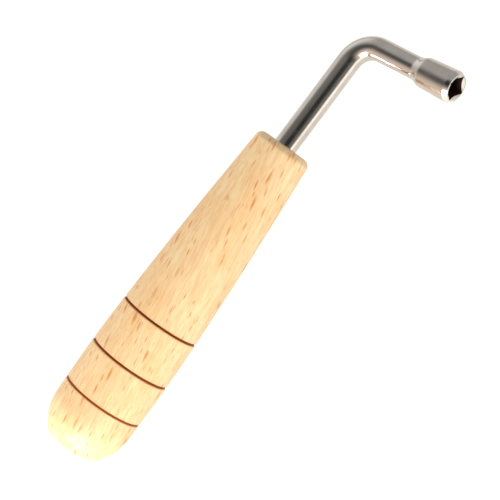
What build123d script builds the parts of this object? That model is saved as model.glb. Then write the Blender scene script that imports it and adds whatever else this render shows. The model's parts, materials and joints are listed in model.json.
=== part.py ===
from build123d import *
import math
import os

# L-shaped tuning wrench for square-headed tuning pins: a turned beech handle on a bent steel bar
# that ends in a socket head. All sizes are in millimetres.
#
# Frame: the origin is the centre of the socket's mouth, which opens towards -Y. The arm of the bar
# runs from there along +Y to the elbow, and the rest of the bar and the handle run off towards -X.
# The whole L lies in the XY plane, so +Z is square to it and the wrench is lying on its side.

# The bent bar.
bar_diameter = 7.6
arm_length = 37.4             # socket mouth to the point where the two centre lines cross
exposed_length = 40.6         # that point to the end of the handle
elbow_angle = 96.5            # between the arm and the bar, a little more open than square
bend_radius = 8.6             # of the bar's centre line round the elbow
tang_length = 62.0            # the stretch that is hidden in the handle
tang_chamfer = 0.8
flat_length = 14.0            # two flats near the tang's end keep it from turning in the glue
flat_depth = 0.7
flat_setback = 6.0            # from the tang's end to the flats

# The socket head.
head_length = 15.6
head_diameter_at_mouth = 10.4
head_diameter_at_shoulder = 9.7
shoulder_length = 4.2         # S-shaped neck between the head and the bar
rim_bevel_length = 1.3        # along the head
rim_bevel_width = 0.75        # across it
rim_round = 0.4
square_size = 6.0             # across the flats of the pin hole
square_depth = 10.8
square_corner_round = 0.15
countersink_diameter = 7.7
countersink_angle = 120.0
spigot_diameter = 5.0         # the bar's turned-down end fills the head from behind

# The handle, measured from its butt towards the bar.
handle_length = 116.5
handle_angle = 95.0           # to the arm: the handle sits slightly askew on the bar
butt_face_radius = 8.8
butt_edge_round = 2.0
rounding_length = 12.5        # from the butt face to the start of the grip
grip_start_radius = 13.85
belly_at, belly_radius = 26.0, 14.0
waist_at, waist_radius = 53.5, 13.35
taper_at, taper_radius = 80.0, 12.0
tip_radius = 9.6
tip_slope = -0.066
tip_edge_round = 2.4
bore_diameter = 7.9
bore_end_gap = 1.0            # beyond the tang's end
bore_overrun = 1.0            # how far the bore's solid runs past the handle's tip
bore_mouth_chamfer = 0.35
drill_point_angle = 118.0
glue_recess = 0.5             # the glue stops this far inside the bore's mouth

# Three burnt V-grooves round the butt half: distance from the butt, and radius of the floor.
groove_seats = [(17.85, 13.35), (32.6, 13.35), (49.1, 12.95)]
groove_slope = 0.8            # half width of the V at unit height
groove_cutter_height = 1.6
groove_floor_width = 0.16


def direction(angle_to_arm):
    """The way that runs towards the arm's line, at an angle to it in the XY plane."""
    angle = math.radians(angle_to_arm)
    return Vector(math.sin(angle), math.cos(angle), 0)


# Places worked out from the dimensions above.
towards_elbow = direction(elbow_angle)
towards_tip = direction(handle_angle)
elbow = Vector(0, arm_length, 0)
tip_centre = elbow - towards_elbow * exposed_length
butt_centre = tip_centre - towards_tip * handle_length
tang_end = tip_centre - towards_elbow * tang_length
arm_end = Vector(0, head_length, 0)

# In this plane X runs along the handle from the butt to the tip, and Y is the radius.
handle_plane = Plane(origin=butt_centre, x_dir=towards_tip, z_dir=(0, 0, 1))
handle_axis = Axis(butt_centre, towards_tip)

# In this one X runs along the bar from the tang's end. The bore follows the bar, not the handle.
tang_plane = Plane(origin=tang_end, x_dir=towards_elbow, z_dir=(0, 0, 1))
tang_axis = Axis(tang_end, towards_elbow)
bore_radius = bore_diameter / 2
drill_point = -bore_end_gap - bore_radius / math.tan(math.radians(drill_point_angle / 2))
bore_mouth_end = tang_length + bore_overrun


# The drilled bore as a solid: the handle loses it, and the glue fills what the tang leaves of it.
with BuildPart() as bore_room:
    with BuildSketch(tang_plane):
        with BuildLine():
            Polyline(
                (drill_point, 0),
                (-bore_end_gap, bore_radius),
                (bore_mouth_end, bore_radius),
                (bore_mouth_end, 0),
                close=True,
            )
        make_face()
    revolve(axis=tang_axis)


# The bar: hidden tang, straight stretch, elbow, arm and the spigot inside the socket head.
with BuildPart() as bar:
    with BuildLine() as bar_route:
        FilletPolyline(arm_end, elbow, tang_end, radius=bend_radius)
    with BuildSketch(Plane(origin=arm_end, x_dir=(1, 0, 0), z_dir=(0, 1, 0))):
        Circle(bar_diameter / 2)
    sweep(path=bar_route.wires()[0])
    chamfer(bar.faces().sort_by(Axis.X)[0].edges(), tang_chamfer)

    spigot_length = head_length - square_depth
    with BuildSketch(Plane(origin=arm_end, x_dir=(1, 0, 0), z_dir=(0, -1, 0))):
        Circle(spigot_diameter / 2)
    extrude(amount=spigot_length)

    # The two flats, above and below the tang, are cut by one sketch seen along the bar.
    flats_start = tang_end + towards_elbow * flat_setback
    with BuildSketch(Plane(origin=flats_start, x_dir=(0, 0, 1), z_dir=towards_elbow)):
        Circle(bar_diameter)
        Rectangle(bar_diameter - 2 * flat_depth, 3 * bar_diameter, mode=Mode.SUBTRACT)
    extrude(amount=flat_length, mode=Mode.SUBTRACT)


# The socket head: a turned sleeve, broached square from its mouth and bored for the spigot behind.
with BuildPart() as socket_head:
    mouth_radius = head_diameter_at_mouth / 2
    with BuildSketch(Plane.XY) as head_outline:
        with BuildLine():
            shoulder_start = (head_diameter_at_shoulder / 2, head_length - shoulder_length)
            shoulder_end = (bar_diameter / 2, head_length)
            Polyline(
                shoulder_end,
                (spigot_diameter / 2, head_length),
                (spigot_diameter / 2, 0),
                (mouth_radius - rim_bevel_width, 0),
                (mouth_radius, rim_bevel_length),
                shoulder_start,
            )
            Spline(shoulder_start, shoulder_end, tangents=[(0, 1), (0, 1)])
        make_face()
        fillet(head_outline.vertices().sort_by(Axis.X)[-1], rim_round)
    revolve(axis=Axis.Y)

    with BuildSketch(Plane.XZ) as pin_square:
        Rectangle(square_size, square_size, rotation=45)
        fillet(pin_square.vertices(), square_corner_round)
    extrude(amount=-square_depth, mode=Mode.SUBTRACT)

    # The countersink stops short of the square's corners, so each flat starts with a curved edge.
    sink_radius = countersink_diameter / 2
    sink_depth = sink_radius / math.tan(math.radians(countersink_angle / 2))
    with BuildSketch(Plane.XY):
        with BuildLine():
            Polyline((0, 0), (sink_radius, 0), (0, sink_depth), close=True)
        make_face()
    revolve(axis=Axis.Y, mode=Mode.SUBTRACT)


# The handle: rounded butt, nearly straight grip and a long taper to the bar.
with BuildPart() as handle:
    with BuildSketch(handle_plane) as handle_outline:
        with BuildLine():
            Polyline((rounding_length, 0), (0, 0), (0, butt_face_radius))
            TangentArc(
                (rounding_length, grip_start_radius),
                (0, butt_face_radius),
                tangent=(-1, 0),
            )
            Spline(
                (rounding_length, grip_start_radius),
                (belly_at, belly_radius),
                (waist_at, waist_radius),
                (taper_at, taper_radius),
                (handle_length, tip_radius),
                tangents=[(1, 0), (1, tip_slope)],
            )
            Polyline((handle_length, tip_radius), (handle_length, 0), (rounding_length, 0))
        make_face()
        butt_corner = handle_outline.vertices().group_by(Axis.X)[0].sort_by(Axis.Y)[-1]
        fillet(butt_corner, butt_edge_round)
        tip_corner = handle_outline.vertices().group_by(Axis.X)[-1].sort_by(Axis.Y)[-1]
        fillet(tip_corner, tip_edge_round)
    revolve(axis=handle_axis)

    for groove_at, floor_radius in groove_seats:
        with BuildSketch(handle_plane):
            with BuildLine():
                half_floor = groove_floor_width / 2
                half_top = half_floor + groove_slope * groove_cutter_height
                Polyline(
                    (groove_at - half_floor, floor_radius),
                    (groove_at + half_floor, floor_radius),
                    (groove_at + half_top, floor_radius + groove_cutter_height),
                    (groove_at - half_top, floor_radius + groove_cutter_height),
                    close=True,
                )
            make_face()
        revolve(axis=handle_axis, mode=Mode.SUBTRACT)

    add(bore_room.part, mode=Mode.SUBTRACT)
    tip_face = handle.faces().filter_by(GeomType.PLANE).sort_by(Axis.X)[-1]
    bore_mouth = tip_face.edges().sort_by(SortBy.LENGTH)[0]
    chamfer(bore_mouth, bore_mouth_chamfer)


# The hardened glue: a thin sleeve round the tang, closed at the bottom, that fills both flats.
with BuildPart() as tang_glue:
    add(bore_room.part)
    add(bar.part, mode=Mode.SUBTRACT)
    overrun_end = tip_centre + towards_elbow * bore_overrun
    with BuildSketch(Plane(origin=overrun_end, x_dir=(0, 0, 1), z_dir=-towards_elbow)):
        Circle(bore_diameter)
    extrude(amount=bore_overrun + glue_recess, mode=Mode.SUBTRACT)


bar.part.label = "bar"
socket_head.part.label = "socket_head"
handle.part.label = "handle"
tang_glue.part.label = "tang_glue"

os.makedirs("parts", exist_ok=True)
export_step(bar.part, "parts/bar.step")
export_step(socket_head.part, "parts/socket_head.step")
export_step(handle.part, "parts/handle.step")
export_step(tang_glue.part, "parts/tang_glue.step")
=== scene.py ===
import json
import math

import bmesh
import bpy
from mathutils import Matrix, Vector, noise


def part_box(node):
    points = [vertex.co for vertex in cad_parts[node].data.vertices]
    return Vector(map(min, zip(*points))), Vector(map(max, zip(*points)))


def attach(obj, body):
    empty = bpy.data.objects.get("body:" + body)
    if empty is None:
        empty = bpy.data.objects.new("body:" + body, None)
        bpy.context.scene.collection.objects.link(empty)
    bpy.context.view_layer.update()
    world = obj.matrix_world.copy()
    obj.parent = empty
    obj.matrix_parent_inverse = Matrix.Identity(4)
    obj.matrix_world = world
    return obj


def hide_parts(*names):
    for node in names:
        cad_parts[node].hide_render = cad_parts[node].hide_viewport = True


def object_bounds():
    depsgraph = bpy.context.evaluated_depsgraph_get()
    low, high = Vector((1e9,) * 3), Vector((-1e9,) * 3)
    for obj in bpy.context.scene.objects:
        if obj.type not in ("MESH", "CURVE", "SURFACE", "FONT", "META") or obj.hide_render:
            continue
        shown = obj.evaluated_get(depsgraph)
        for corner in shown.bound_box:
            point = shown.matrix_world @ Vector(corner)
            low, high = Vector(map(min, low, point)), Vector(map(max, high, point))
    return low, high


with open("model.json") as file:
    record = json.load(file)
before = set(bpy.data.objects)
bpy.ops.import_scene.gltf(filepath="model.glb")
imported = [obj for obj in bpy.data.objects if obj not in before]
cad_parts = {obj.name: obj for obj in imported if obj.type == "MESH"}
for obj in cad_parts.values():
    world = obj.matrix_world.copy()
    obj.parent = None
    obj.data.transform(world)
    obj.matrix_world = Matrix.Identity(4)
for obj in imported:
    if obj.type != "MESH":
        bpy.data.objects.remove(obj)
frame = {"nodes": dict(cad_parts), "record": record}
cad_low, cad_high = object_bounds()

MM = 0.001
BODY = "root"

# ------------------------------------------------------------ places, read off the frame


def points_of(node):
    """A CAD node's vertices."""
    return [vertex.co.copy() for vertex in frame["nodes"][node].data.vertices]


mounts = {mount["name"]: mount for mount in frame["record"]["mounts"]}
butt_centre = Vector(mounts["butt_face"]["pos_m"])
handle_way = -Vector(mounts["butt_face"]["axis"]).normalized()
mouth_centre = Vector(mounts["pin_socket"]["pos_m"])
arm_way = -Vector(mounts["pin_socket"]["axis"]).normalized()
plane_up = Vector((0, 0, 1))
across_handle = plane_up.cross(handle_way)
across_arm = arm_way.cross(plane_up)
head_low, head_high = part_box("socket_head")
head_length = head_high.y - head_low.y
square_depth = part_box("bar")[0].y - mouth_centre.y
bar_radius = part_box("bar")[1].x
handle_length = max((point - butt_centre).dot(handle_way) for point in points_of("handle"))
tip_centre = butt_centre + handle_way * handle_length

# The bar leaves the tip a little askew. Its line runs from the tang's end face through the tip.
tang_reach = min((point - tip_centre).dot(handle_way) for point in points_of("bar"))
tang_face = [p for p in points_of("bar") if (p - tip_centre).dot(handle_way) < tang_reach + 0.4 * MM]
tang_end = sum(tang_face, Vector()) / len(tang_face)
bar_way = (tip_centre - tang_end).normalized()
across_bar = plane_up.cross(bar_way)

# The elbow's corner is where the bar's centre line crosses the arm's.
corner = mouth_centre + arm_way * (
    (tip_centre - mouth_centre).dot(across_bar) / arm_way.dot(across_bar)
)


# ------------------------------------------------------------ mesh tools


def ring_mesh(name, rings, materials, start_pole=None, end_pole=None, second_from=None):
    """A closed surface through rings of equally many points, with its faces turned outwards.

    A pole closes an end with a fan. From the ring numbered second_from on, the faces have the
    second material. Points that fall together are made one, so no face is left without area.
    """
    count = len(rings[0])
    points = [point for ring in rings for point in ring]
    faces = []
    for band in range(len(rings) - 1):
        low, high = band * count, (band + 1) * count
        for i in range(count):
            j = (i + 1) % count
            faces.append((low + i, low + j, high + j, high + i))
    for pole, first in ((start_pole, 0), (end_pole, (len(rings) - 1) * count)):
        if pole is None:
            continue
        points.append(pole)
        for i in range(count):
            faces.append((first + i, first + (i + 1) % count, len(points) - 1))
    mesh = bpy.data.meshes.new(name)
    mesh.from_pydata(points, [], faces)
    for material in materials:
        mesh.materials.append(material)
    if second_from is not None:
        for polygon in mesh.polygons:
            polygon.material_index = int(min(polygon.vertices) // count >= second_from)
    tidy = bmesh.new()
    tidy.from_mesh(mesh)
    bmesh.ops.remove_doubles(tidy, verts=tidy.verts, dist=0.0005 * MM)
    bmesh.ops.recalc_face_normals(tidy, faces=tidy.faces)
    if tidy.calc_volume(signed=True) < 0:
        bmesh.ops.reverse_faces(tidy, faces=tidy.faces)
    tidy.to_mesh(mesh)
    tidy.free()
    piece = bpy.data.objects.new(name, mesh)
    bpy.context.scene.collection.objects.link(piece)
    return piece


def circle(centre, radius, side, up, count):
    """Points round a centre, in the plane of side and up."""
    turns = [2 * math.pi * i / count for i in range(count)]
    return [centre + (side * math.cos(turn) + up * math.sin(turn)) * radius for turn in turns]


def shade(piece, sharp_angle):
    """Smooth shading that breaks at edges sharper than the angle, in degrees."""
    for polygon in piece.data.polygons:
        polygon.use_smooth = True
    piece.data.set_sharp_from_angle(angle=math.radians(sharp_angle))


def stands_for(piece, node):
    """The piece rides on the wrench's one body, in the CAD node's place."""
    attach(piece, BODY)
    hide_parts(node)


def turned_outline(node, start, way, wanted, tolerance=0.004 * MM):
    """(distance, radius) along a turned CAD node, from the vertices that wanted() accepts."""
    found = {}
    for point in points_of(node):
        offset = point - start
        along = offset.dot(way)
        radius = (offset - way * along).length
        if wanted(along, radius):
            found[round(along / MM, 2), round(radius / MM, 2)] = Vector((along, radius))
    return thinned([found[key] for key in sorted(found)], tolerance)


def thinned(points, tolerance):
    """The few points of an outline that keep it within the tolerance."""
    first, last = points[0], points[-1]
    chord = last - first
    if len(points) < 3 or chord.length == 0:
        return points
    gaps = [abs(chord.x * (p - first).y - chord.y * (p - first).x) / chord.length for p in points]
    worst = max(range(len(points)), key=gaps.__getitem__)
    if gaps[worst] <= tolerance:
        return [first, last]
    return thinned(points[: worst + 1], tolerance)[:-1] + thinned(points[worst:], tolerance)


def flowing(outline, step, corner_angle=20, long_run=2.5):
    """The outline with points at most a step apart, curved between its corners."""

    def directions(before, here, after):
        """The ways in which the curve comes to a point and leaves it."""
        if before is None or after is None:
            only = (after - here) if before is None else (here - before)
            return only.normalized(), only.normalized()
        back, ahead = here - before, after - here
        if math.degrees(back.angle(ahead)) > corner_angle:
            return back.normalized(), ahead.normalized()
        if max(back.length, ahead.length) > long_run * min(back.length, ahead.length):
            straight = max(back, ahead, key=lambda run: run.length).normalized()
            return straight, straight
        mean = (back.normalized() * ahead.length + ahead.normalized() * back.length).normalized()
        return mean, mean

    ways = [
        directions(before, here, after)
        for before, here, after in zip([None, *outline], outline, [*outline[1:], None])
    ]
    dense = [outline[0]]
    for i in range(len(outline) - 1):
        a, b = outline[i], outline[i + 1]
        span = (b - a).length
        leave, arrive = ways[i][1] * span, ways[i + 1][0] * span
        parts = max(1, math.ceil(span / step))
        for k in range(1, parts + 1):
            t = k / parts
            t2, t3 = t * t, t * t * t
            dense.append(
                a * (2 * t3 - 3 * t2 + 1) + leave * (t3 - 2 * t2 + t)
                + b * (3 * t2 - 2 * t3) + arrive * (t3 - t2)
            )
    return dense


def divided(outline, step):
    """The outline with points at most a step apart, and nothing rounded off."""
    dense = [outline[0]]
    for a, b in zip(outline, outline[1:]):
        parts = max(1, math.ceil((b - a).length / step))
        dense += [a.lerp(b, k / parts) for k in range(1, parts + 1)]
    return dense


# ------------------------------------------------------------ material tools


class Nodes:
    """A short way to write a node tree."""

    def __init__(self, tree):
        self.tree = tree

    def add(self, kind, inputs=None, **settings):
        node = self.tree.nodes.new(kind)
        for name, value in settings.items():
            setattr(node, name, value)
        for key, value in (inputs or {}).items():
            self.feed(node.inputs[key], value)
        return node

    def feed(self, socket, value):
        if isinstance(value, bpy.types.NodeSocket):
            self.tree.links.new(value, socket)
        else:
            socket.default_value = value

    def math(self, operation, a, b=0.0, c=0.0, clamp=False):
        node = self.add("ShaderNodeMath", {0: a, 1: b, 2: c}, operation=operation, use_clamp=clamp)
        return node.outputs[0]

    def mix(self, factor, a, b):
        """A blend of two colours. They are the seventh and eighth sockets of the Mix node."""
        node = self.add("ShaderNodeMix", {0: factor, 6: a, 7: b}, data_type="RGBA")
        return node.outputs[2]

    def blend(self, factor, a, b):
        """A blend of two numbers."""
        return self.add("ShaderNodeMix", {0: factor, 2: a, 3: b}, data_type="FLOAT").outputs[0]

    def between(self, value, low, high, low_out=0.0, high_out=1.0):
        """A smooth step of the value from low_out to high_out."""
        node = self.add("ShaderNodeMapRange", interpolation_type="SMOOTHSTEP")
        for key, item in zip(("Value", "From Min", "From Max", "To Min", "To Max"),
                             (value, low, high, low_out, high_out)):
            self.feed(node.inputs[key], item)
        return node.outputs["Result"]

    def noise(self, place, scale, detail=2.0, roughness=0.5):
        node = self.add(
            "ShaderNodeTexNoise",
            {"Vector": place, "Scale": scale, "Detail": detail, "Roughness": roughness},
        )
        return node.outputs["Fac"]

    def dot(self, place, way):
        node = self.add("ShaderNodeVectorMath", {0: place, 1: tuple(way)}, operation="DOT_PRODUCT")
        return node.outputs["Value"]

    def triple(self, x, y, z):
        return self.add("ShaderNodeCombineXYZ", {0: x, 1: y, 2: z}).outputs[0]


def new_material(name):
    """(material, its nodes, its Principled shader)."""
    material = bpy.data.materials.new(name)
    material.use_nodes = True
    tree = material.node_tree
    return material, Nodes(tree), tree.nodes["Principled BSDF"]


def rgb(red, green, blue):
    """A colour given as 0 to 255 display values, in the linear values that a shader takes."""
    return (*((value / 255) ** 2.2 for value in (red, green, blue)), 1.0)


# ------------------------------------------------------------ beech

# The grain runs a little off the handle's own line, and these three ways are the wood's own.
grain_way = (handle_way + plane_up * 0.098 + across_handle * 0.145).normalized()
ring_way = Vector((0.03, -0.55, 0.83))
ring_way = (ring_way - grain_way * ring_way.dot(grain_way)).normalized()
ray_way = grain_way.cross(ring_way)


def beech(groove_places):
    material, n, shader = new_material("beech")
    place = n.add("ShaderNodeTexCoord").outputs["Object"]
    grain, ring, ray = (n.dot(place, way) for way in (grain_way, ring_way, ray_way))

    # Slow changes of tone, and thin straight streaks that follow the grain.
    cloud = n.noise(n.triple(n.math("MULTIPLY", grain, 40), n.math("MULTIPLY", ring, 60),
                             n.math("MULTIPLY", ray, 110)), 1.0, 3.0, 0.6)
    mottle = n.noise(n.triple(n.math("MULTIPLY", grain, 150), n.math("MULTIPLY", ring, 500),
                              n.math("MULTIPLY", ray, 700)), 1.0, 3.0, 0.65)
    streak = n.noise(n.triple(n.math("MULTIPLY", grain, 110), n.math("MULTIPLY", ring, 1500),
                              n.math("MULTIPLY", ray, 2200)), 1.0, 3.0, 0.6)
    band = n.noise(n.triple(n.math("MULTIPLY", grain, 9), n.math("MULTIPLY", ring, 420),
                            n.math("MULTIPLY", ray, 150)), 1.0, 1.0)
    colour = n.mix(n.between(cloud, 0.32, 0.68), rgb(250, 212, 159), rgb(252, 228, 181))
    colour = n.mix(n.between(mottle, 0.40, 0.62, 0.0, 0.55), colour, rgb(241, 196, 140))
    colour = n.mix(n.between(streak, 0.45, 0.72, 0.0, 0.45), colour, rgb(226, 172, 116))
    colour = n.mix(n.between(band, 0.5, 0.8, 0.0, 0.3), colour, rgb(236, 190, 140))

    # Ray flecks: slim dark spindles along the grain, each in a cell of its own.
    wander = n.noise(n.triple(n.math("MULTIPLY", grain, 70), n.math("MULTIPLY", ring, 70),
                              n.math("MULTIPLY", ray, 70)), 1.0, 1.0)
    bent_ray = n.math("ADD", ray, n.math("MULTIPLY", wander, 0.0012))
    flecks = None
    for cell_length, cell_width, share in ((9.5, 1.7, 0.7), (6.5, 1.1, 0.65), (4.2, 0.8, 0.5)):
        cell = n.triple(n.math("DIVIDE", grain, cell_length * MM), n.math("DIVIDE", ring, 7 * MM),
                        n.math("DIVIDE", bent_ray, cell_width * MM))
        voronoi = n.add("ShaderNodeTexVoronoi", {"Vector": cell, "Scale": 1.0, "Randomness": 1.0})
        chance = n.add("ShaderNodeSeparateColor", {0: voronoi.outputs["Color"]}).outputs[0]
        size = n.between(chance, 1 - share, 1.0, 0.0, 0.36)
        edge = n.math("MULTIPLY", size, 0.3)
        fleck = n.add("ShaderNodeMapRange", {"Value": voronoi.outputs["Distance"], "From Min": edge,
                                             "From Max": size, "To Min": 1.0, "To Max": 0.0})
        fleck = n.math("MULTIPLY", fleck.outputs[0], n.between(chance, 1 - share, 1.0, 0.25, 1.0))
        flecks = fleck if flecks is None else n.math("MAXIMUM", flecks, fleck)
    colour = n.mix(n.math("MULTIPLY", flecks, 0.9), colour, rgb(214, 140, 68))

    # End grain at the two flat ends is darker.
    normal = n.add("ShaderNodeNewGeometry").outputs["Normal"]
    end_grain = n.between(n.math("ABSOLUTE", n.dot(normal, handle_way)), 0.72, 0.97)
    colour = n.mix(n.math("MULTIPLY", end_grain, 0.35), colour, rgb(196, 146, 98))

    # The burnt grooves, darkest at their floor, with a faint scorch on each side.
    along = n.math("SUBTRACT", n.dot(place, handle_way), butt_centre.dot(handle_way))
    patchy = n.noise(place, 220, 2.0)
    char = None
    for groove_at, depth_of_burn in groove_places:
        gap = n.math("ABSOLUTE", n.math("SUBTRACT", along, groove_at))
        core = n.between(gap, 0.18 * MM, 0.62 * MM, depth_of_burn, 0.0)
        scorch = n.math("MULTIPLY", n.between(gap, 0.3 * MM, 1.5 * MM, 0.3, 0.0), patchy)
        both = n.math("MAXIMUM", core, scorch)
        char = both if char is None else n.math("MAXIMUM", char, both)
    colour = n.mix(n.between(char, 0.0, 0.55), colour, rgb(200, 124, 62))
    colour = n.mix(n.between(char, 0.45, 1.0), colour, rgb(136, 70, 24))

    n.feed(shader.inputs["Base Color"], colour)
    rough = n.between(streak, 0.3, 0.8, 0.36, 0.5)
    n.feed(shader.inputs["Roughness"], n.math("ADD", rough, n.math("MULTIPLY", char, 0.3), clamp=True))
    shader.inputs["Specular IOR Level"].default_value = 0.5
    height = n.math("SUBTRACT", n.math("MULTIPLY", streak, 0.5), n.math("MULTIPLY", flecks, 0.45))
    bump = n.add("ShaderNodeBump", {"Height": height, "Strength": 0.25, "Distance": 0.05 * MM})
    n.feed(shader.inputs["Normal"], bump.outputs[0])
    return material


# ------------------------------------------------------------ chrome, the socket's inside with painted shade, glue


def chrome(name, along_way, around_a, around_b):
    """Polished plating with the faint lines of the bar's drawing and polishing."""
    material, n, shader = new_material(name)
    place = n.add("ShaderNodeTexCoord").outputs["Object"]
    along, a, b = (n.dot(place, way) for way in (along_way, around_a, around_b))
    lines = n.noise(n.triple(n.math("MULTIPLY", along, 60), n.math("MULTIPLY", a, 2600),
                             n.math("MULTIPLY", b, 2600)), 1.0, 2.0)
    haze = n.noise(place, 160, 3.0, 0.6)
    specks = n.noise(place, 1500, 1.0)
    tone = n.mix(n.between(haze, 0.35, 0.7), rgb(222, 218, 212), rgb(212, 207, 199))
    n.feed(shader.inputs["Base Color"], tone)
    shader.inputs["Metallic"].default_value = 1.0
    smear = n.between(haze, 0.4, 0.75, 0.15, 0.23)
    n.feed(shader.inputs["Roughness"], n.math("ADD", smear, n.between(specks, 0.68, 0.8, 0.0, 0.08)))
    height = n.math("ADD", n.math("MULTIPLY", lines, 0.6), n.math("MULTIPLY", haze, 0.8))
    bump = n.add("ShaderNodeBump", {"Height": height, "Strength": 0.08, "Distance": 0.02 * MM})
    n.feed(shader.inputs["Normal"], bump.outputs[0])
    return material


def painted_shade_steel():
    """The socket's inside: its dark brown colour is painted shade of the deep hole, and the broach's
    marks run along it.
    """
    material, n, shader = new_material("painted_shade_steel")
    place = n.add("ShaderNodeTexCoord").outputs["Object"]
    along, a, b = (n.dot(place, way) for way in (arm_way, across_arm, plane_up))
    marks = n.noise(n.triple(n.math("MULTIPLY", along, 120), n.math("MULTIPLY", a, 3000),
                             n.math("MULTIPLY", b, 3000)), 1.0, 3.0)
    stain = n.noise(place, 500, 3.0)
    # Painted shade: the dark brown stands in for the shade deep in the square hole.
    n.feed(shader.inputs["Base Color"], n.mix(stain, rgb(40, 26, 20), rgb(74, 56, 46)))
    shader.inputs["Metallic"].default_value = 0.6
    n.feed(shader.inputs["Roughness"], n.between(marks, 0.3, 0.7, 0.45, 0.7))
    bump = n.add("ShaderNodeBump", {"Height": marks, "Strength": 0.4, "Distance": 0.05 * MM})
    n.feed(shader.inputs["Normal"], bump.outputs[0])
    return material


def glue():
    material, n, shader = new_material("glue")
    place = n.add("ShaderNodeTexCoord").outputs["Object"]
    cloud = n.noise(place, 900, 3.0)
    n.feed(shader.inputs["Base Color"], n.mix(cloud, rgb(150, 108, 62), rgb(186, 142, 92)))
    n.feed(shader.inputs["Roughness"], n.between(cloud, 0.3, 0.7, 0.25, 0.5))
    bump = n.add("ShaderNodeBump", {"Height": cloud, "Strength": 0.4, "Distance": 0.05 * MM})
    n.feed(shader.inputs["Normal"], bump.outputs[0])
    return material


# ------------------------------------------------------------ the handle

HANDLE_SEGMENTS = 176
HANDLE_STEP = 0.8 * MM        # the longest run between two rings
HANDLE_SHARP_ANGLE = 32
WIDER_THAN_THE_BORE = 6 * MM  # every vertex of the handle's outside is further out than this
BURNS = (0.72, 0.88, 1.0)     # how dark each groove is burnt, from the butt on
BORE_RADIUS = 3.95 * MM
BORE_MOUTH_CHAMFER = 0.35 * MM
BORE_END_GAP = 1.0 * MM       # beyond the tang's end
DRILL_HALF_ANGLE = math.radians(59)
SANDING_DEPTH = 0.02 * MM
SANDING_PATCH = 9 * MM
BUTT_WEAR = 0.012 * MM
BUTT_WEAR_REACH = 4 * MM
GROOVE_WEAR = 0.06 * MM
GROOVE_WEAR_REACH = 0.7 * MM
GROOVE_WEAR_PATCH = 1.3 * MM

bore_end = tang_end - bar_way * BORE_END_GAP
drill_point = bore_end - bar_way * BORE_RADIUS / math.tan(DRILL_HALF_ANGLE)


def groove_centres(outline):
    """Where the outline dips sharply: the grooves' floors, as distances from the butt."""
    floors = []
    for before, a, b, after in zip(outline, outline[1:], outline[2:], outline[3:]):
        deep = min(before.y, after.y) - max(a.y, b.y)
        if deep > 0.3 * MM and (b - a).length < 0.4 * MM:
            floors.append((a.x + b.x) / 2)
    return floors


def make_handle():
    outer = turned_outline(
        "handle", butt_centre, handle_way, lambda t, r: r > WIDER_THAN_THE_BORE
    )
    grooves = groove_centres(outer)
    outer = flowing(outer, HANDLE_STEP)

    def ring(t, radius):
        centre = butt_centre + handle_way * t
        points = circle(centre, radius, across_handle, plane_up, HANDLE_SEGMENTS)
        return [point + worn(point, centre, t, grooves) for point in points]

    # A few more rings on each flat end keep its shading flat.
    first, last = outer[0], outer[-1]
    rings = [ring(first.x, first.y * share) for share in (0.35, 0.8, 0.97)]
    rings += [ring(t, radius) for t, radius in outer]
    mouth_radius = BORE_RADIUS + BORE_MOUTH_CHAMFER
    rings += [ring(last.x, mouth_radius + (last.y - mouth_radius) * share) for share in (0.9, 0.3)]
    rings.append(circle(tip_centre, mouth_radius, across_handle, plane_up, HANDLE_SEGMENTS))
    bore = [tip_centre - bar_way * depth for depth in (BORE_MOUTH_CHAMFER, 6 * MM, 30 * MM)]
    for centre in (*bore, bore_end):
        rings.append(circle(centre, BORE_RADIUS, across_bar, plane_up, HANDLE_SEGMENTS))
    wood = beech(list(zip(grooves, BURNS)))
    handle = ring_mesh("beech_handle", rings, [wood], butt_centre, drill_point)
    shade(handle, HANDLE_SHARP_ANGLE)
    stands_for(handle, "handle")


def worn(point, centre, t, grooves):
    """How far the sanded and burnt surface lies inside the turned one, at a point."""
    inwards = (centre - point).normalized()
    depth = SANDING_DEPTH * (0.5 + 0.5 * noise.noise(point / SANDING_PATCH))
    butt_wear = handle_way * BUTT_WEAR * math.exp(-t / BUTT_WEAR_REACH)
    for groove_at in grooves:
        closeness = math.exp(-(((t - groove_at) / GROOVE_WEAR_REACH) ** 2))
        depth += GROOVE_WEAR * closeness * (0.5 + 0.5 * noise.noise(point / GROOVE_WEAR_PATCH))
    return inwards * depth + butt_wear


# ------------------------------------------------------------ the bar

BAR_SEGMENTS = 72
ARM_STEPS, BEND_STEPS, REST_STEPS = 24, 32, 60
BEND_RADIUS = 8.6 * MM        # of the bar's centre line
ARM_NARROWING = 0.03          # the arm is drawn out a little thinner towards the head
SPIGOT_RADIUS = 2.5 * MM
TANG_CHAMFER = 0.8 * MM
FLAT_FROM, FLAT_TO = 6 * MM, 20 * MM      # from the tang's end
FLAT_HALF_GAP = bar_radius - 0.7 * MM
BACK_FACE_SHARE = 0.94        # a ring this far out on the bar's end face keeps its shading flat


def bar_stations():
    """(centre, way) along the bar's centre line, from the head's back to the tang's end."""
    turn = arm_way.angle(-bar_way)
    setback = BEND_RADIUS * math.tan(turn / 2)
    arm_start = mouth_centre + arm_way * head_length
    bend_start = corner - arm_way * setback
    bend_end = corner - bar_way * setback
    hub = bend_start - across_arm * BEND_RADIUS
    stations = []
    for i in range(ARM_STEPS):
        stations.append((arm_start.lerp(bend_start, i / ARM_STEPS), arm_way))
    for i in range(BEND_STEPS):
        angle = turn * i / BEND_STEPS
        out = across_arm * math.cos(angle) + arm_way * math.sin(angle)
        way = arm_way * math.cos(angle) - across_arm * math.sin(angle)
        stations.append((hub + out * BEND_RADIUS, way))
    for i in range(REST_STEPS):
        stations.append((bend_end.lerp(tang_end, i / REST_STEPS), -bar_way))
    return stations


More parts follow.
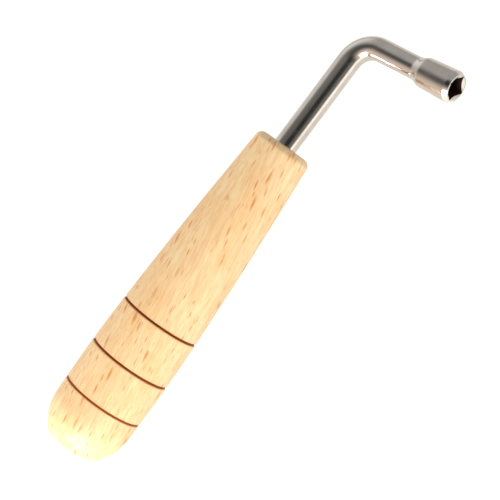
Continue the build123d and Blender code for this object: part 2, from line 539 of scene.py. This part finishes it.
def bar_ring(centre, way):
    """The bar's outline at a station: thinner along the arm, and flat on two sides of the tang."""
    to_corner = (corner - centre).dot(arm_way) / ((corner - mouth_centre).length - head_length)
    radius = bar_radius * (1 - ARM_NARROWING * max(0.0, to_corner) * arm_way.dot(way) ** 2)
    ring = circle(centre, radius, way.cross(plane_up), plane_up, BAR_SEGMENTS)
    if FLAT_FROM < (centre - tang_end).dot(bar_way) < FLAT_TO:
        for point in ring:
            point.z = min(max(point.z, -FLAT_HALF_GAP), FLAT_HALF_GAP)
    return ring


def tang_end_rings():
    """The tang's chamfered end."""
    return [
        circle(tang_end + bar_way * TANG_CHAMFER, bar_radius, across_bar, plane_up, BAR_SEGMENTS),
        circle(tang_end, bar_radius - TANG_CHAMFER, across_bar, plane_up, BAR_SEGMENTS),
    ]


def make_bar():
    spigot_end = mouth_centre + arm_way * square_depth
    back_of_head = mouth_centre + arm_way * head_length
    places = ((spigot_end, SPIGOT_RADIUS), (back_of_head, SPIGOT_RADIUS),
              (back_of_head, bar_radius * BACK_FACE_SHARE))
    rings = [circle(at, radius, across_arm, plane_up, BAR_SEGMENTS) for at, radius in places]
    rings += [bar_ring(centre, way) for centre, way in bar_stations()] + tang_end_rings()
    plating = chrome("chromed_bar", bar_way, across_bar, plane_up)
    bar = ring_mesh("chromed_bar", rings, [plating], spigot_end, tang_end)
    shade(bar, 30)
    stands_for(bar, "bar")


# ------------------------------------------------------------ the glue round the tang

GLUE_RECESS = 0.5 * MM        # below the handle's tip


def make_glue():
    """It fills the bore round the tang: first its outside, then its inside, which is the tang's."""
    top = tip_centre - bar_way * GLUE_RECESS
    places = ((bore_end, BORE_RADIUS), (top, BORE_RADIUS), (top, bar_radius))
    rings = [circle(at, radius, across_bar, plane_up, BAR_SEGMENTS) for at, radius in places]
    for centre, way in bar_stations():
        if (top - centre).dot(bar_way) > 0 and way.dot(bar_way) < -0.99:
            rings.append(bar_ring(centre, way))
    rings += tang_end_rings()
    piece = ring_mesh("tang_glue_sleeve", rings, [glue()], drill_point, tang_end)
    shade(piece, 30)
    stands_for(piece, "tang_glue")


# ------------------------------------------------------------ the socket head

HEAD_SEGMENTS = 160
HEAD_STEP = 0.5 * MM          # the longest run between two rings
WALL_STEPS = 10
SQUARE_SIZE = 6.0 * MM        # across its flats
SQUARE_CORNER_ROUND = 0.15 * MM
SINK_RADIUS = 3.85 * MM
SINK_HALF_ANGLE = math.radians(60)


def square_reach(turn):
    """How far the square hole's wall is from its axis. Its corners point along X and Z."""
    half = SQUARE_SIZE / 2
    flat = math.cos((turn % (math.pi / 2)) - math.pi / 4)
    corner_reach = half * math.sqrt(2) - SQUARE_CORNER_ROUND * (math.sqrt(2) - 1)
    return min(half / flat, corner_reach)


def make_socket_head():
    turns = [2 * math.pi * i / HEAD_SEGMENTS for i in range(HEAD_SEGMENTS)]
    spokes = [across_arm * math.cos(turn) + plane_up * math.sin(turn) for turn in turns]

    def ring(reach, depth):
        return [
            mouth_centre + spoke * reach(turn) + arm_way * depth(turn)
            for turn, spoke in zip(turns, spokes)
        ]

    def round_ring(radius, depth):
        return ring(lambda turn: radius, lambda turn: depth)

    def outside(t, radius):
        """Whether a vertex is on the head's outside, beyond the square's corners or behind its end."""
        behind = t > square_depth + 0.05 * MM and radius > bar_radius - 0.2 * MM
        return behind or radius > square_reach(0.0) + 0.1 * MM

    outer = divided(turned_outline("socket_head", mouth_centre, arm_way, outside), HEAD_STEP)
    rings = [round_ring(SPIGOT_RADIUS, square_depth), round_ring(SPIGOT_RADIUS, head_length)]
    rings += [round_ring(outer[-1].y * 0.97, head_length)]
    rings += [round_ring(radius, along) for along, radius in reversed(outer)]
    rings += [round_ring(outer[0].y * 0.985, 0.0)]

    # The countersink runs down to the square's flats, and the square's corners cut through it.
    def sink_depth(turn):
        return max(0.0, SINK_RADIUS - square_reach(turn)) / math.tan(SINK_HALF_ANGLE)

    for share in (0.0, 0.5, 1.0):
        rings.append(ring(
            lambda turn: max(SINK_RADIUS, square_reach(turn)) * (1 - share)
            + square_reach(turn) * share,
            lambda turn: sink_depth(turn) * share,
        ))
    wall_band = len(rings) - 1
    for step in range(1, WALL_STEPS + 1):
        share = step / WALL_STEPS
        rings.append(ring(
            square_reach,
            lambda turn: square_depth * share + (1 - share) * sink_depth(turn),
        ))
    rings.append(round_ring(SPIGOT_RADIUS, square_depth))
    plating = chrome("chromed_head", arm_way, across_arm, plane_up)
    # The square hole's walls get the second material, whose dark brown colour is painted shade.
    head = ring_mesh("socket_head_shell", rings, [plating, painted_shade_steel()], second_from=wall_band)
    shade(head, 28)
    stands_for(head, "socket_head")


# ------------------------------------------------------------ stage, lights and camera


FLOOR_SIZE = 6.0
FLOOR_SEEN = 0.82             # how bright it glows to the camera
CAMERA_WAY = (0.027, -0.562, 0.827)


def make_floor():
    material, n, shader = new_material("floor")
    place = n.add("ShaderNodeTexCoord").outputs["Object"]
    tone = n.mix(n.noise(place, 3.0), (0.30, 0.30, 0.30, 1), (0.33, 0.33, 0.33, 1))
    n.feed(shader.inputs["Base Color"], tone)
    shader.inputs["Roughness"].default_value = 0.9
    shader.inputs["Specular IOR Level"].default_value = 0.1

    # It glows like a light table, evenly as seen. In reflections it glows less to the right and
    # behind, and most beside the socket's mouth.
    x, y, z = n.add("ShaderNodeSeparateXYZ", {0: place}).outputs
    glow = n.math("ADD", n.between(x, 0.0, 0.12, 0.62, 0.25), n.between(y, 0.04, 0.14, 0.0, -0.1))
    beside = n.between(x, -0.006, 0.006, 0.5, 0.0)
    in_front = n.between(y, 0.0, 0.012, 1.0, 0.0)
    glow = n.math("ADD", glow, n.math("MULTIPLY", beside, in_front))
    seen = n.add("ShaderNodeLightPath").outputs["Is Camera Ray"]
    n.feed(shader.inputs["Emission Strength"], n.blend(seen, glow, FLOOR_SEEN))
    n.feed(shader.inputs["Emission Color"], n.mix(seen, (1.0, 0.93, 0.86, 1), (1, 1, 1, 1)))
    mesh = bpy.data.meshes.new("floor")
    h = FLOOR_SIZE / 2
    mesh.from_pydata([(-h, -h, 0), (h, -h, 0), (h, h, 0), (-h, h, 0)], [], [(0, 1, 2, 3)])
    mesh.materials.append(material)
    floor = bpy.data.objects.new("floor", mesh)
    bpy.context.scene.collection.objects.link(floor)
    floor.location = (mouth_centre.x, mouth_centre.y, cad_low.z)


def make_world():
    """White as seen. In reflections a dim studio with pale walls, and dark where a camera stands."""
    world = bpy.data.worlds.new("studio")
    bpy.context.scene.world = world
    world.use_nodes = True
    n = Nodes(world.node_tree)
    look = n.add("ShaderNodeTexCoord").outputs["Generated"]
    x, y, z = n.add("ShaderNodeSeparateXYZ", {0: look}).outputs
    side = n.math("ABSOLUTE", n.math("ADD", x, 0.18))
    walls = n.between(side, 0.04, 0.55, 0.0, 0.34)
    left_wall = n.between(x, -0.95, -0.35, 0.46, 0.0)
    back_wall = n.between(y, 0.56, 0.90, 0.0, 0.50)
    near_wall = n.between(y, -1.0, -0.8, 0.12, 0.0)
    level = n.math("ADD", n.math("ADD", walls, left_wall), n.math("ADD", back_wall, near_wall))
    level = n.math("ADD", level, 0.09)
    near_camera = n.between(n.dot(look, CAMERA_WAY), 0.90, 0.99)
    level = n.math("MULTIPLY", level, n.math("SUBTRACT", 1.0, n.math("MULTIPLY", near_camera, 0.75)))
    warm = n.mix(n.between(x, -0.6, 0.1), (1.0, 0.84, 0.74, 1), (1.0, 0.98, 0.95, 1))
    seen = n.add("ShaderNodeLightPath").outputs["Is Camera Ray"]
    background = world.node_tree.nodes["Background"]
    n.feed(background.inputs["Color"], n.mix(seen, warm, (1, 1, 1, 1)))
    n.feed(background.inputs["Strength"], n.math("MAXIMUM", level, seen))


def soft_light(name, towards, distance, size, power, colour, glossy=True):
    """A softbox that stands that way from the wrench and shines at it."""
    data = bpy.data.lights.new(name, "AREA")
    data.shape = "RECTANGLE"
    data.size, data.size_y = size
    data.energy = power
    data.color = colour
    light = bpy.data.objects.new(name, data)
    bpy.context.scene.collection.objects.link(light)
    towards = Vector(towards).normalized()
    light.location = (cad_low + cad_high) / 2 + towards * distance
    light.rotation_euler = towards.to_track_quat("Z", "Y").to_euler()
    light.visible_glossy = glossy


def make_lights():
    soft_light("key", (-0.93, -0.25, 0.24), 0.9, (0.5, 0.6), 12.0, (1.0, 0.96, 0.91))
    soft_light("fill", (0.05, -0.5, 0.86), 1.2, (1.2, 1.2), 4.0, (1.0, 0.99, 0.97), glossy=False)
    soft_light("left", (-0.55, 0.75, 0.35), 0.9, (0.8, 0.8), 4.0, (1.0, 0.94, 0.87), glossy=False)


CAMERA_ANGLES = (2.74, 55.75, -60.68)     # azimuth, elevation and roll, in degrees
CAMERA_DISTANCE = 0.5163
CAMERA_AIM = Vector((2.34, 0.35, 0)) * MM  # from the middle of the CAD box
CAMERA_LENS, CAMERA_SENSOR = 120.0, 36.0


def make_camera():
    azimuth, elevation, roll = (math.radians(angle) for angle in CAMERA_ANGLES)
    aim = (cad_low + cad_high) / 2 + CAMERA_AIM
    back = Vector((math.sin(azimuth) * math.cos(elevation),
                   -math.cos(azimuth) * math.cos(elevation), math.sin(elevation)))
    level_right = Vector((math.cos(azimuth), math.sin(azimuth), 0))
    level_up = back.cross(level_right)
    right = level_right * math.cos(roll) + level_up * math.sin(roll)
    up = back.cross(right)
    data = bpy.data.cameras.new("camera")
    data.lens, data.sensor_width = CAMERA_LENS, CAMERA_SENSOR
    data.clip_start, data.clip_end = 0.01, 20
    camera = bpy.data.objects.new("camera", data)
    bpy.context.scene.collection.objects.link(camera)
    turn = Matrix((right, up, back)).transposed().to_4x4()
    camera.matrix_world = Matrix.Translation(aim + back * CAMERA_DISTANCE) @ turn
    bpy.context.scene.camera = camera


make_handle()
make_bar()
make_socket_head()
make_glue()
make_floor()
make_world()
make_lights()
make_camera()
bpy.context.scene.view_settings.view_transform = "Standard"
